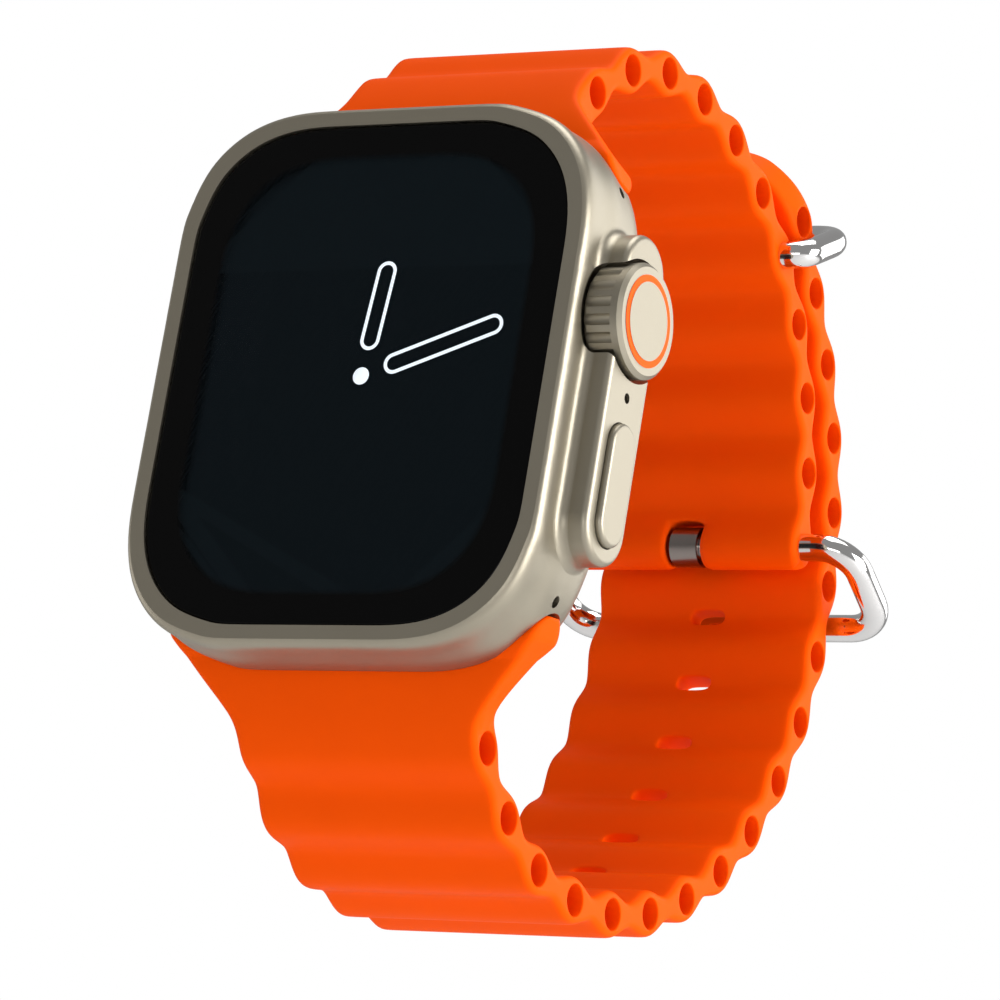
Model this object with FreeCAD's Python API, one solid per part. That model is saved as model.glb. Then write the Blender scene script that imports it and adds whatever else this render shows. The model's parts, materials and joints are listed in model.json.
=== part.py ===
"""GPS running watch on a closed loop band.

Frame, in millimetres: X towards the crown side, Y from the display into the wrist,
Z towards 12 o'clock. The origin is the centre of the back crystal's flat face.
"""
import os
from math import atan2, cos, degrees, hypot, pi, radians, sin

import FreeCAD, Part
from FreeCAD import Vector

# ---- case -------------------------------------------------------------------
CASE_HALF_X = 20.4
CASE_HALF_Z = 24.5
CORNER_SIZE = 13.7          # how far a corner's curve reaches along each side
CORNER_POWER = 2.59         # superellipse exponent of the corner's curve
CASE_FRONT = -14.4
CASE_BACK = -1.0
# depth Y of each level of the case wall, and how far it lies inside the widest outline
CASE_LEVELS = [(CASE_FRONT, 0.62), (-14.1, 0.28), (-13.2, 0.07), (-10.5, 0.0),
               (-7.5, 0.02), (-5.0, 0.3), (-3.0, 1.1), (-1.7, 2.3), (CASE_BACK, 3.5)]
CAVITY_HALF_X = 17.2
FRONT_CAVITY_HALF_Z = 21.4
REAR_CAVITY_HALF_X = 16.9
REAR_CAVITY_HALF_Z = 17.9
CAVITY_STEP = -9.6          # the rear cavity is shorter behind this depth
CAVITY_BACK = -3.4

# ---- display ----------------------------------------------------------------
GLASS_HALF_X = 18.44
GLASS_HALF_Z = 22.6
GLASS_FRONT = -14.2
GLASS_BACK = -13.1
GLASS_GAP = 0.05

# ---- crown, guard and buttons on the +X side ----------------------------------
GUARD_FACE = 23.0
GUARD_Y = -7.8
GUARD_HALF_WIDTH = 3.5
GUARD_TOP = 14.0
GUARD_BOTTOM = -15.2
GUARD_RIM = 0.6             # rounding of the guard's rim, and of its seam with the case
GUARD_SEAM = 0.9
CROWN_Y = -7.85
CROWN_Z = 6.4
CROWN_RADIUS = 4.95
CROWN_POCKET_RADIUS = 5.3
CROWN_POCKET_FLOOR = 19.7
CROWN_INNER = 20.25
CROWN_OUTER = 23.95
CROWN_FLUTES = 20
CROWN_RING_OUTER = 3.94
CROWN_RING_INNER = 3.35
STEM_RADIUS = 0.9
STEM_END = 21.85            # blind end of the stem inside the knob
BUSHING_RADIUS = 1.6
FLUTE_RADIUS = 0.55
FLUTE_LENGTH = 2.6
RING_DEPTH = 0.6            # depth of the recess for the ring and cap
RUNNING_GAP = 0.05
BUTTON_GAP = 0.1            # gap round a button in its pocket
PLUNGER_RADIUS = 1.0
SWITCH_INNER = 13.8         # |X| of both switches' inner and outer faces
SWITCH_OUTER = 15.9
MICROPHONE_Z = -0.46
MICROPHONE_HOLE = 0.45
SIDE_BUTTON_Z = -8.2
SIDE_BUTTON_LENGTH = 10.8
SIDE_BUTTON_WIDTH = 4.2
SIDE_BUTTON_SEAT = 21.2
SIDE_BUTTON_FACE = 23.6
BUTTON_RIM = 0.4
VENT_Z = 18.3
VENT_Y = -7.5
VENT_RADIUS = 0.5

# ---- action button and speaker on the -X side ----------------------------------
ACTION_BUTTON_Z = 5.5
ACTION_BUTTON_LENGTH = 11.0
ACTION_BUTTON_WIDTH = 3.4
ACTION_BUTTON_SEAT = -19.4
ACTION_BUTTON_FACE = -20.9
SPEAKER_SLOT_Z = (-5.0, -10.6)
SPEAKER_SLOT_LENGTH = 4.6
SPEAKER_SLOT_WIDTH = 1.1

# ---- back ---------------------------------------------------------------------
# plates as half width X, half height Z and corner size
BACK_OPENING = (14.6, 16.2, 9)
COVER_SEAT = (15.85, 17.45, 6)
COVER_PLATE = (15.8, 17.4, 6)
COVER_INNER = -1.9
SEAT_FLOOR = -2.0
CRYSTAL_RADIUS = 14.2
CRYSTAL_FLAT_RADIUS = 13.2
WINDOW_RADIUS = 10.5
SCREW_RADIUS = 0.6
SCREW_HEAD_RADIUS = 1.05
SCREW_HEAD_BACK = -1.1
SCREW_HEAD_FRONT = -1.5
SCREW_X = 13.2
SCREW_Z = 14.8
RELEASE_Z = 19.6
RELEASE_HALF_WIDTH = 1.0
RELEASE_HALF_LENGTH = 2.6
RELEASE_INNER = -3.1

# ---- inner parts: (low, high) along X, Y and Z ----------------------------------
PROCESSOR = ((-6.5, 6.5), (-11.9, -11.3), (-3.5, 9.5))
RADIO = ((-12, -3), (-11.9, -11.3), (11.5, 17))
BATTERY = ((-10.2, 10.2), (-9.2, -4.4), (-11.6, 17.0))
HAPTIC_HOUSING = ((-8.5, 8.5), (-9.2, -4.6), (-17.4, -12.4))
HAPTIC_HOLLOW = ((-7.9, 7.9), (-8.7, -5.1), (-16.9, -12.9))
HAPTIC_MASS = ((-7.0, 7.0), (-8.5, -5.3), (-16.6, -13.2))
SPEAKER = ((-16.4, -11.0), (-9.3, -5.2), (-13.0, -2.2))
ANTENNA = ((-8, 8), (-11.2, -9.7), (20.2, 20.9))
MAIN_BOARD = (16.0, 20.0, 10)
MAIN_BOARD_DEPTH = (-11.3, -10.6)
PANEL = (16.6, 20.8, 11)
PANEL_BACK = -12.5
FLEX_HALF_X = 5.0
FLEX_DEPTH = (-12.45, -12.35)
SENSOR_BOARD_RADIUS = 9.6
SENSOR_BOARD_DEPTH = (-3.2, -2.6)
SENSOR_LIGHT_HEIGHT = 0.6
SENSOR_LIGHT_REACH = 5.2    # how far each outer light stands from the middle
COIL_RADII = (13.6, 10.9)
MAGNET_RADIUS = 4.0
CATCH_RADIUS = 0.8          # spring catch in each lug's bar
CATCH_DEPTH = (-5.0, -3.8)
BRACKET = (16.8, 21.0, 11)
BRACKET_DEPTH = (-12.3, -12.0)

# ---- band ---------------------------------------------------------------------
BAND_HALF_WIDTH = 11.8
TUBE_PITCH = 7.06
TUBE_HOLE_RADIUS = 1.5
CREST_HALF = 2.12           # half thickness over a tube
VALLEY_HALF = 1.08          # half thickness between two tubes
CREST_SHAPE = 0.8           # below 1 makes the crests fuller than the valleys
BAR_Y = -6.0                # lug bar axis in the case's channel
BAR_Z = 21.4
BAR_RADIUS = 2.4
NECK_HALF = 1.9
LUG_GAP = 0.08
LUG_TIP_X = 17.9            # the ears beside the band, and where they run out
LUG_TIP_Z = 21.4
LUG_ROOT_X = 13.4
LUG_ROOT_Z = 26.3
# each band half leaves its lug bar at a heading (degrees from +Y towards +Z) and
# follows tangent arcs (radius, length); radius 0 is straight
LOWER_HEADING = -80.0
LOWER_ARCS = [(16.4, 8.1), (22.9, 18.7), (39.0, 91.8), (0, 60.0)]
LOWER_FIRST_TUBE = 9.1
LOWER_TUBES = 18
LOWER_TIP = 5.4             # plain band past the last tube
TIP_CAP = 1.87              # round end of the plain band, seen from the side
TIP_CORNER = 8.0            # round corners of its tip, seen face on
UPPER_HEADING = 81.0
UPPER_ARCS = [(-16.8, 8.3), (-22.3, 19.5), (-33.8, 80.0)]
UPPER_FIRST_TUBE = 10.1
UPPER_CAP = 2.2             # round end of the short half about its last tube
UPPER_TUBES = 11
SLOT_LENGTH = 3.6           # across the band
SLOT_WIDTH = 1.7            # along the band
SLOT_VALLEYS = range(7, 14) # valley k lies between tube k and tube k + 1
TONGUE_VALLEY = 13

# ---- wire clasp -----------------------------------------------------------------
WIRE_RADIUS = 1.3
WIRE_STUB_END = 6.5         # X where a wire's end meets the pin inside the tube
BUCKLE_BAR = (58.8, 0.8)    # outer bar of the buckle, Y and Z
BUCKLE_LEG_X = 16.5
BUCKLE_BENDS = (3.4, 3.4)   # bend radii next to the tube and next to the outer bar
KEEPER_TUBE = 7
KEEPER_BAR = (44.3, 34.7)   # outer bar of the keeper, Y and Z
KEEPER_LEG_X = 13.9
KEEPER_BENDS = (1.6, 3.4)
TONGUE_HALF_WIDTH = 1.4
TONGUE_HALF_THICK = 0.45
TONGUE_SLACK = 0.35         # how far the tongue hangs below the middle of its slot
BARREL_RADIUS = 1.9
NOTCH_HALF_WIDTH = 1.65

os.makedirs("parts", exist_ok=True)
PARTS = {}


# ---- shape helpers ----------------------------------------------------------------
def box(x, y, z):
    """A box from three (low, high) pairs."""
    corner = Vector(x[0], y[0], z[0])
    return Part.makeBox(x[1] - x[0], y[1] - y[0], z[1] - z[0], corner)


def rod_x(radius, x0, x1, y, z):
    return Part.makeCylinder(radius, x1 - x0, Vector(x0, y, z), Vector(1, 0, 0))


def rod_y(radius, y0, y1, x, z):
    return Part.makeCylinder(radius, y1 - y0, Vector(x, y0, z), Vector(0, 1, 0))


def ring_x(outer, inner, x0, x1, y, z):
    return rod_x(outer, x0, x1, y, z).cut(rod_x(inner, x0, x1, y, z))


def ring_y(outer, inner, y0, y1, x, z):
    return rod_y(outer, y0, y1, x, z).cut(rod_y(inner, y0, y1, x, z))


def extrude(wire, vector):
    return Part.Face(wire).extrude(vector)


def squircle_wire(half_x, half_z, corner, y):
    """Rounded rectangle in the XZ plane whose corners are superellipse quarters."""
    steps = 6
    edges = []
    signs = [(1, 1), (-1, 1), (-1, -1), (1, -1)]
    ends = []
    for index, (sx, sz) in enumerate(signs):
        points = []
        for step in range(steps + 1):
            angle = step / steps * pi / 2
            along_x = cos(angle) ** (2 / CORNER_POWER)
            along_z = sin(angle) ** (2 / CORNER_POWER)
            points.append(Vector(sx * (half_x - corner + corner * along_x), y,
                                 sz * (half_z - corner + corner * along_z)))
        tangents = (Vector(0, 0, sz), Vector(-sx, 0, 0))
        if index % 2:
            points.reverse()
            tangents = (Vector(sx, 0, 0), Vector(0, 0, -sz))
        curve = Part.BSplineCurve()
        curve.interpolate(Points=points, InitialTangent=tangents[0], FinalTangent=tangents[1])
        edges.append(curve.toShape())
        ends.append((points[0], points[-1]))
    loop = []
    for index in range(4):
        loop.append(edges[index])
        start = ends[index][1]
        finish = ends[(index + 1) % 4][0]
        loop.append(Part.LineSegment(start, finish).toShape())
    return Part.Wire(Part.__sortEdges__(loop))


def squircle_plate(half_x, half_z, corner, y0, y1):
    return extrude(squircle_wire(half_x, half_z, corner, y0), Vector(0, y1 - y0, 0))


def stadium_x(half_width, z0, z1, x0, x1, y):
    """Round-ended slab along Z, extruded along X."""
    low = z0 + half_width
    high = z1 - half_width
    body = box((x0, x1), (y - half_width, y + half_width), (low, high))
    return body.fuse([rod_x(half_width, x0, x1, y, low),
                      rod_x(half_width, x0, x1, y, high)]).removeSplitter()


def stadium_y(half_width, half_length, y0, y1, z):
    """Round-ended slab along X, extruded along Y."""
    reach = half_length - half_width
    body = box((-reach, reach), (y0, y1), (z - half_width, z + half_width))
    return body.fuse([rod_y(half_width, y0, y1, -reach, z),
                      rod_y(half_width, y0, y1, reach, z)]).removeSplitter()


def band_point(side, distance):
    """Point (Y, Z) and heading of one band half's centreline at a distance from its bar."""
    y, z = BAR_Y, -BAR_Z if side == "lower" else BAR_Z
    heading = radians(LOWER_HEADING if side == "lower" else UPPER_HEADING)
    for radius, length in LOWER_ARCS if side == "lower" else UPPER_ARCS:
        step = min(distance, length)
        if radius:
            turned = heading + step / radius
            y += radius * (sin(turned) - sin(heading))
            z -= radius * (cos(turned) - cos(heading))
            heading = turned
        else:
            y += step * cos(heading)
            z += step * sin(heading)
        distance -= step
        if distance <= 0:
            break
    return y, z, heading


def tube_distance(side, number):
    first = LOWER_FIRST_TUBE if side == "lower" else UPPER_FIRST_TUBE
    return first + (number - 1) * TUBE_PITCH


def export(name, shape):
    if len(shape.Solids) == 1:
        shape = shape.Solids[0]
    assert shape.isValid(), name
    PARTS[name] = shape
    shape.exportStep("parts/%s.step" % name)


# ---- case -------------------------------------------------------------------------
def case_envelope():
    """Solid outer form of the case, lofted through its levels."""
    wires = []
    for y, inside in CASE_LEVELS:
        wires.append(squircle_wire(CASE_HALF_X - inside, CASE_HALF_Z - inside,
                                   CORNER_SIZE - 0.5 * inside, y))
    return Part.makeLoft(wires, True, False)


def lug_profile(side, radius, neck_half, reach):
    """Keyhole outline of the lug in the YZ plane: round bar and straight neck."""
    y, z, heading = band_point(side, 0)
    far_y = y + reach * cos(heading)
    far_z = z + reach * sin(heading)
    normal = (-sin(heading) * neck_half, cos(heading) * neck_half)
    corners = [(y + normal[0], z + normal[1]), (far_y + normal[0], far_z + normal[1]),
               (far_y - normal[0], far_z - normal[1]), (y - normal[0], z - normal[1])]
    points = [Vector(-30, cy, cz) for cy, cz in corners]
    neck = extrude(Part.makePolygon(points + points[:1]), Vector(60, 0, 0))
    return rod_x(radius, -30, 30, y, z).fuse(neck).removeSplitter()


def button_pocket(width, length, z, x0, x1):
    """Cutter for a button's pocket, with the running gap round the button."""
    return stadium_x(width / 2 + BUTTON_GAP, z - length / 2 - BUTTON_GAP,
                     z + length / 2 + BUTTON_GAP, x0, x1, GUARD_Y)


def make_case():
    """Case body with its crown guard, hollow for the parts inside."""
    body = case_envelope()
    guard = stadium_x(GUARD_HALF_WIDTH, GUARD_BOTTOM, GUARD_TOP, 17.5, GUARD_FACE, GUARD_Y)
    rim = [edge for edge in guard.Edges if edge.BoundBox.XMin > GUARD_FACE - 0.01]
    guard = guard.makeFillet(GUARD_RIM, rim)
    body = body.fuse(guard)
    seam = [edge for edge in body.Edges
            if edge.BoundBox.XMin > 17 and edge.BoundBox.XMax < GUARD_FACE - 1
            and edge.BoundBox.YMin > GUARD_Y - GUARD_HALF_WIDTH - 0.2
            and edge.BoundBox.YMax < GUARD_Y + GUARD_HALF_WIDTH + 0.2]
    body = body.makeFillet(GUARD_SEAM, seam)
    cuts = [
        squircle_plate(GLASS_HALF_X + GLASS_GAP, GLASS_HALF_Z + GLASS_GAP,
                       CORNER_SIZE - 1.2, CASE_FRONT - 1, GLASS_BACK + 0.2),
        squircle_plate(CAVITY_HALF_X, FRONT_CAVITY_HALF_Z, CORNER_SIZE - 2.4,
                       GLASS_BACK, CAVITY_STEP),
        squircle_plate(REAR_CAVITY_HALF_X, REAR_CAVITY_HALF_Z, 8, CAVITY_STEP - 1, CAVITY_BACK),
        squircle_plate(*BACK_OPENING, CAVITY_BACK - 1, 0),
        squircle_plate(*COVER_SEAT, SEAT_FLOOR, 0),
        rod_x(CROWN_POCKET_RADIUS, CROWN_POCKET_FLOOR, 30, CROWN_Y, CROWN_Z),
        rod_x(BUSHING_RADIUS, 15, 21, CROWN_Y, CROWN_Z),
        button_pocket(SIDE_BUTTON_WIDTH, SIDE_BUTTON_LENGTH, SIDE_BUTTON_Z, 20.6, 30),
        rod_x(PLUNGER_RADIUS + RUNNING_GAP, 15, 21, GUARD_Y, SIDE_BUTTON_Z),
        rod_x(MICROPHONE_HOLE, 18.5, 30, GUARD_Y, MICROPHONE_Z),
        rod_x(1.3, 15, 18.6, GUARD_Y, MICROPHONE_Z),
        button_pocket(ACTION_BUTTON_WIDTH, ACTION_BUTTON_LENGTH, ACTION_BUTTON_Z, -30, -18.9),
        rod_x(PLUNGER_RADIUS + RUNNING_GAP, -20, -15, GUARD_Y, ACTION_BUTTON_Z),
    ]
    for z in (-VENT_Z, VENT_Z):
        cuts.append(rod_x(VENT_RADIUS, 14.5, 30, VENT_Y, z))
    for z in SPEAKER_SLOT_Z:
        cuts.append(stadium_x(SPEAKER_SLOT_WIDTH / 2, z - SPEAKER_SLOT_LENGTH / 2,
                              z + SPEAKER_SLOT_LENGTH / 2, -30, -15, GUARD_Y))
    for side in ("lower", "upper"):
        cuts.append(lug_profile(side, BAR_RADIUS + LUG_GAP, NECK_HALF + LUG_GAP, 12))
    for z in (-RELEASE_Z, RELEASE_Z):
        cuts.append(stadium_y(RELEASE_HALF_WIDTH + 0.06, RELEASE_HALF_LENGTH + 0.06, -4.6, 0, z))
    for x, z in screw_places():
        cuts.append(rod_y(SCREW_RADIUS, -3.6, 0, x, z))
    body = body.cut(cuts)
    return max(body.Solids, key=lambda solid: solid.Volume)


def screw_places():
    return [(sx * SCREW_X, sz * SCREW_Z) for sx in (-1, 1) for sz in (-1, 1)]


# ---- band -------------------------------------------------------------------------
def half_thickness(side, distance):
    """Band half thickness: full over each tube, thin in the valleys, full at the root."""
    past_first = distance - tube_distance(side, 1)
    last = tube_distance(side, LOWER_TUBES if side == "lower" else UPPER_TUBES)
    if past_first <= 0:
        share = max(0.0, 1 + past_first / 4.0)
        return NECK_HALF + (CREST_HALF - NECK_HALF) * share
    if side == "lower" and distance >= last:
        return CREST_HALF - 0.25 * min(1.0, (distance - last) / LOWER_TIP)
    wave = 0.5 + 0.5 * cos(2 * pi * past_first / TUBE_PITCH)
    return VALLEY_HALF + (CREST_HALF - VALLEY_HALF) * wave ** CREST_SHAPE


def band_sides(side, start, finish):
    """Outer and inner outline points of a band half, four to a tube pitch."""
    first = tube_distance(side, 1)
    count = round((finish - first) / (TUBE_PITCH / 4))
    distances = [start, first - 1.8]
    distances += [first + step * TUBE_PITCH / 4 for step in range(count)]
    distances.append(finish)
    left, right = [], []
    for distance in distances:
        y, z, heading = band_point(side, distance)
        half = half_thickness(side, distance)
        left.append(Vector(0, y - sin(heading) * half, z + cos(heading) * half))
        right.append(Vector(0, y + sin(heading) * half, z - cos(heading) * half))
    return left, right


def smooth_edge(points):
    curve = Part.BSplineCurve()
    curve.interpolate(Points=points)
    return curve.toShape()


def band_slab(side, start, finish, end_half):
    """Band half as an extruded wave outline with a round free end."""
    left, right = band_sides(side, start, finish)
    y, z, heading = band_point(side, finish)
    tip = Vector(0, y + cos(heading) * end_half, z + sin(heading) * end_half)
    outline = Part.Wire([smooth_edge(left), Part.Arc(left[-1], tip, right[-1]).toShape(),
                         smooth_edge(right[::-1]), Part.LineSegment(right[0], left[0]).toShape()])
    outline.translate(Vector(-BAND_HALF_WIDTH, 0, 0))
    return extrude(outline, Vector(2 * BAND_HALF_WIDTH, 0, 0))


def make_lug(side):
    """Bar and neck across the case, trimmed flush with its corners, with ears to the band."""
    sign = -1 if side == "lower" else 1
    profile = lug_profile(side, BAR_RADIUS, NECK_HALF, 6.2)
    case_trim = squircle_plate(CASE_HALF_X, CASE_HALF_Z, CORNER_SIZE, -12, 2)
    ear = [(LUG_TIP_X - 1.6, LUG_TIP_Z - 2.4), (LUG_TIP_X, LUG_TIP_Z), (LUG_ROOT_X, LUG_ROOT_Z),
           (BAND_HALF_WIDTH, LUG_ROOT_Z + 1.6), (BAND_HALF_WIDTH, LUG_ROOT_Z + 4)]
    corners = ear + [(-x, z) for x, z in ear[::-1]]
    points = [Vector(x, -12, sign * z) for x, z in corners]
    flare = extrude(Part.makePolygon(points + points[:1]), Vector(0, 14, 0))
    trim = case_trim.fuse(flare)
    return profile.common(trim)


def slot_tool(side, valley, length, width, reach):
    """Capsule cutter square to the band in one valley."""
    y, z, heading = band_point(side, tube_distance(side, valley) + TUBE_PITCH / 2)
    tool = stadium_y(width / 2, length / 2, -reach, reach, 0)
    tool.rotate(Vector(0, 0, 0), Vector(1, 0, 0), degrees(heading) - 90)
    tool.translate(Vector(0, y, z))
    return tool


def tube_hole(side, number, radius):
    y, z, _ = band_point(side, tube_distance(side, number))
    return rod_x(radius, -20, 20, y, z)


def tip_corner_tools(finish):
    """Cutters that round the two corners of the long half's tip."""
    y, z, heading = band_point("lower", finish)
    side = BAND_HALF_WIDTH - TIP_CORNER
    end = TIP_CAP - TIP_CORNER
    tools = []
    for sign in (-1, 1):
        x = sorted((sign * side, sign * (BAND_HALF_WIDTH + 1)))
        corner = box(x, (end, TIP_CAP + 1), (-4, 4))
        round_part = Part.makeCylinder(TIP_CORNER, 10, Vector(sign * side, end, -5))
        tool = corner.cut(round_part)
        tool.rotate(Vector(0, 0, 0), Vector(1, 0, 0), degrees(heading))
        tool.translate(Vector(0, y, z))
        tools.append(tool)
    return tools


def make_lower_band():
    finish = tube_distance("lower", LOWER_TUBES) + LOWER_TIP
    slab = band_slab("lower", 5.0, finish, TIP_CAP)
    cuts = tip_corner_tools(finish)
    cuts += [tube_hole("lower", number, TUBE_HOLE_RADIUS) for number in range(1, LOWER_TUBES + 1)]
    cuts += [slot_tool("lower", valley, SLOT_LENGTH, SLOT_WIDTH, 5) for valley in SLOT_VALLEYS]
    cuts.append(rod_y(CATCH_RADIUS, CATCH_DEPTH[0], 0, 0, -BAR_Z))
    return slab.fuse(make_lug("lower")).cut(cuts).removeSplitter()


def make_upper_band():
    finish = tube_distance("upper", UPPER_TUBES)
    slab = band_slab("upper", 5.6, finish, UPPER_CAP)
    cuts = []
    for number in range(1, UPPER_TUBES + 1):
        pinned = number in (KEEPER_TUBE, UPPER_TUBES)
        cuts.append(tube_hole("upper", number, WIRE_RADIUS + RUNNING_GAP if pinned
                              else TUBE_HOLE_RADIUS))
    y, z, heading = band_point("upper", finish)
    notch = box((-NOTCH_HALF_WIDTH, NOTCH_HALF_WIDTH), (-2.6, 6), (-4, 4))
    notch.rotate(Vector(0, 0, 0), Vector(1, 0, 0), degrees(heading))
    notch.translate(Vector(0, y, z))
    cuts.append(notch)
    cuts.append(rod_y(CATCH_RADIUS, CATCH_DEPTH[0], 0, 0, BAR_Z))
    return slab.fuse(make_lug("upper")).cut(cuts).removeSplitter()


# ---- wire clasp -------------------------------------------------------------------
def wire_loop(pin, bar, leg, bends):
    """Round wire bent to a U: outer bar, two legs and two stubs that enter the tube."""
    near, far = bends
    length = hypot(bar[0] - pin[0], bar[1] - pin[1])
    along = ((bar[0] - pin[0]) / length, (bar[1] - pin[1]) / length)

    def place(x, distance):
        return Vector(x, pin[0] + along[0] * distance, pin[1] + along[1] * distance)

    half_root = 0.5 ** 0.5
    edges = []
    for sign in (1, -1):
        stub = [place(sign * WIRE_STUB_END, 0), place(sign * (leg - near), 0)]
        turn = [place(sign * (leg - near + near * half_root), near - near * half_root),
                place(sign * leg, near)]
        side = place(sign * leg, length - far)
        bend = [place(sign * (leg - far + far * half_root), length - far + far * half_root),
                place(sign * (leg - far), length)]
        edges.append(Part.LineSegment(stub[0], stub[1]).toShape())
        edges.append(Part.Arc(stub[1], turn[0], turn[1]).toShape())
        edges.append(Part.LineSegment(turn[1], side).toShape())
        edges.append(Part.Arc(side, bend[0], bend[1]).toShape())
    edges.append(Part.LineSegment(place(leg - far, length), place(far - leg, length)).toShape())
    path = Part.Wire(Part.__sortEdges__(edges))
    start = path.OrderedVertexes[0].Point
    circle = Part.Wire(Part.makeCircle(WIRE_RADIUS, start, Vector(1, 0, 0)))
    return path.makePipeShell([circle], True, False)


def tongue_route():
    """Centreline points (Y, Z) of the tongue: off the barrel, through the slot, over the bar."""
    y, z, heading = band_point("lower", tube_distance("lower", TONGUE_VALLEY) + TUBE_PITCH / 2)
    outward = (sin(heading), -cos(heading))
    y -= TONGUE_SLACK * cos(heading)
    z -= TONGUE_SLACK * sin(heading)
    inside = (y - outward[0] * 2.4, z - outward[1] * 2.4)
    outside = (y + outward[0] * 2.4, z + outward[1] * 2.4)
    over = WIRE_RADIUS + TONGUE_HALF_THICK + 0.15
    rest = (BUCKLE_BAR[0] + over * cos(0.35), BUCKLE_BAR[1] + over * sin(0.35))
    return [inside, outside, rest]


def make_tongue(pin):
    """Flat bent tongue fused to a barrel that turns on the buckle pin."""
    inside, outside, rest = tongue_route()
    start_angle = atan2(inside[1] - pin[1], inside[0] - pin[0])
    start = (pin[0] + cos(start_angle) * 1.5, pin[1] + sin(start_angle) * 1.5)
    route = [start, inside, outside, rest, (rest[0] + 0.1, rest[1] - 2.0)]
    centre = Part.BSplineCurve()
    centre.interpolate(Points=[Vector(0, y, z) for y, z in route])
    first, last = centre.FirstParameter, centre.LastParameter
    left, right = [], []
    samples = 10
    for index in range(samples + 1):
        at = first + (last - first) * index / samples
        point = centre.value(at)
        tangent = centre.tangent(at)[0]
        offset = Vector(0, -tangent.z, tangent.y) * TONGUE_HALF_THICK
        left.append(point + offset)
        right.append(point - offset)
    point = centre.value(last)
    tip = point + centre.tangent(last)[0] * TONGUE_HALF_THICK
    outline = Part.Wire([smooth_edge(left), Part.Arc(left[-1], tip, right[-1]).toShape(),
                         smooth_edge(right[::-1]), Part.LineSegment(right[0], left[0]).toShape()])
    outline.translate(Vector(-TONGUE_HALF_WIDTH, 0, 0))
    blade = extrude(outline, Vector(2 * TONGUE_HALF_WIDTH, 0, 0))
    barrel = rod_x(BARREL_RADIUS, -TONGUE_HALF_WIDTH, TONGUE_HALF_WIDTH, pin[0], pin[1])
    bore = rod_x(WIRE_RADIUS + RUNNING_GAP, -5, 5, pin[0], pin[1])
    return blade.fuse(barrel).cut(bore).removeSplitter()


def make_clasp():
    buckle_pin = band_point("upper", tube_distance("upper", UPPER_TUBES))[:2]
    keeper_pin = band_point("upper", tube_distance("upper", KEEPER_TUBE))[:2]
    export("buckle_frame", wire_loop(buckle_pin, BUCKLE_BAR, BUCKLE_LEG_X, BUCKLE_BENDS))
    export("buckle_pin", rod_x(WIRE_RADIUS, -WIRE_STUB_END, WIRE_STUB_END, *buckle_pin))
    export("buckle_tongue", make_tongue(buckle_pin))
    export("keeper_loop", wire_loop(keeper_pin, KEEPER_BAR, KEEPER_LEG_X, KEEPER_BENDS))
    export("keeper_pin", rod_x(WIRE_RADIUS, -WIRE_STUB_END, WIRE_STUB_END, *keeper_pin))
    print("buckle pin", buckle_pin, "keeper pin", keeper_pin)


# ---- crown and buttons --------------------------------------------------------------
def make_crown():
    knob = rod_x(CROWN_RADIUS, CROWN_INNER, CROWN_OUTER - 0.1, CROWN_Y, CROWN_Z)
    rims = [edge for edge in knob.Edges if edge.Length > 6 and hasattr(edge.Curve, "Radius")]
    knob = knob.makeChamfer(0.35, rims)
    flutes = []
    for index in range(CROWN_FLUTES):
        angle = 2 * pi * index / CROWN_FLUTES
        reach = CROWN_RADIUS + 0.25
        flutes.append(rod_x(FLUTE_RADIUS, CROWN_INNER - 1, CROWN_INNER + FLUTE_LENGTH,
                            CROWN_Y + reach * cos(angle), CROWN_Z + reach * sin(angle)))
    floor = CROWN_OUTER - RING_DEPTH
    recess = rod_x(CROWN_RING_OUTER, floor, CROWN_OUTER + 1, CROWN_Y, CROWN_Z)
    socket = rod_x(STEM_RADIUS, CROWN_INNER - 1, STEM_END, CROWN_Y, CROWN_Z)
    export("crown_knob", knob.cut(flutes + [recess, socket]))
    export("crown_ring", ring_x(CROWN_RING_OUTER, CROWN_RING_INNER, floor,
                                CROWN_OUTER - 0.05, CROWN_Y, CROWN_Z))
    export("crown_cap", rod_x(CROWN_RING_INNER, floor, CROWN_OUTER, CROWN_Y, CROWN_Z))
    flange = rod_x(1.7, 15.3, 15.7, CROWN_Y, CROWN_Z)
    stem = rod_x(STEM_RADIUS, 15.3, STEM_END, CROWN_Y, CROWN_Z)
    export("crown_stem", stem.fuse(flange).removeSplitter())
    export("crown_collar", ring_x(2.0, STEM_RADIUS + RUNNING_GAP, 15.72, 16.4,
                                  CROWN_Y, CROWN_Z))
    export("crown_bushing", ring_x(BUSHING_RADIUS, STEM_RADIUS + RUNNING_GAP, 17.0, 19.6,
                                   CROWN_Y, CROWN_Z))
    export("crown_encoder", box((13.4, 14.2), (CROWN_Y - 2.2, CROWN_Y + 2.2),
                                (CROWN_Z - 2.6, CROWN_Z + 2.6)))


def button_cap(width, length, z, seat, face):
    """Round-ended button whose outer rim is rounded."""
    cap = stadium_x(width / 2, z - length / 2, z + length / 2, min(seat, face),
                    max(seat, face), GUARD_Y)
    rim = [edge for edge in cap.Edges
           if abs(edge.BoundBox.XMin - face) < 0.01 and abs(edge.BoundBox.XMax - face) < 0.01]
    return cap.makeFillet(BUTTON_RIM, rim)


def switch(z, side):
    """Tactile switch behind a plunger, on the +X or -X side of the case."""
    x = sorted((side * SWITCH_INNER, side * SWITCH_OUTER))
    return box(x, (GUARD_Y - 1.6, GUARD_Y + 1.6), (z - 2.2, z + 2.2))


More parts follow.
